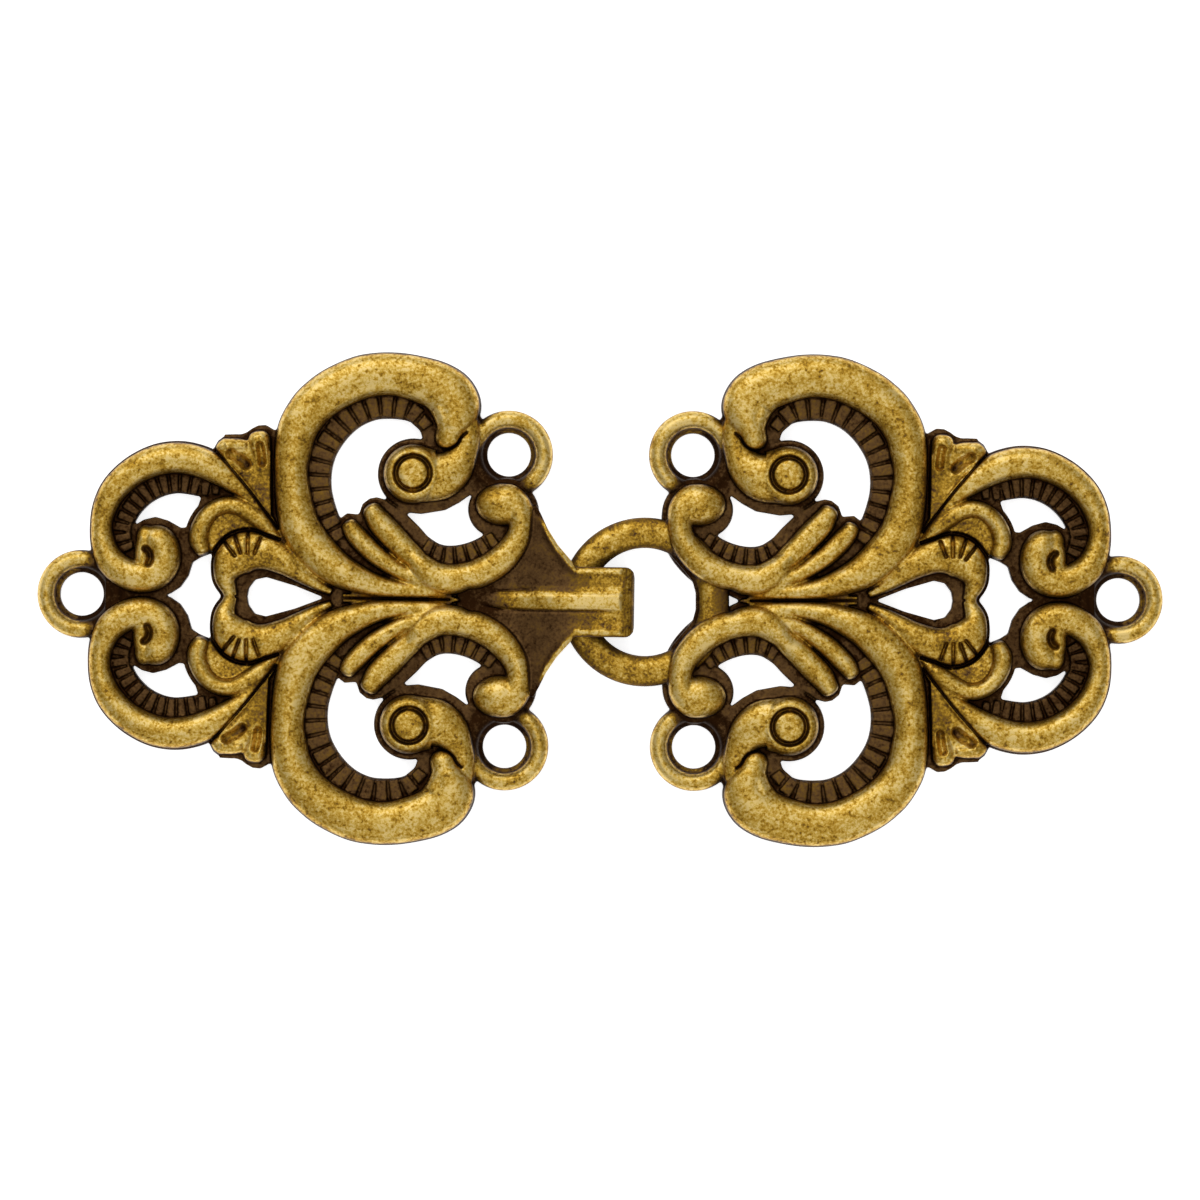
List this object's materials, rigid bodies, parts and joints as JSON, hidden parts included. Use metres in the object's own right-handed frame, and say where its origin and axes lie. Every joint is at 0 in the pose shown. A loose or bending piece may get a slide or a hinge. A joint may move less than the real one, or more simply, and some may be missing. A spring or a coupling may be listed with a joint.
{
  "type": "hook and eye clasp",
  "caption": "Sew-on hook and eye clasp: pierced scroll castings in antique brass, fastened by a folded hook over a ring.",
  "frame": {"origin": "middle of the fastened clasp's bounding box, on the plane that both flat backs lie on", "axes": "+X along the clasp from the hook casting to the eye casting, +Y across it, +Z out of the decorated face"},
  "size_m": [0.0806, 0.0356, 0.0034],
  "materials": {
    "hook_casting": "antiqued: polished crests over dark recesses",
    "eye_casting": "antiqued: polished crests over dark recesses"
  },
  "bodies": {
    "root": {"hook_half": "hook_casting", "eye_half": "eye_casting"}
  },
  "joints": []
}
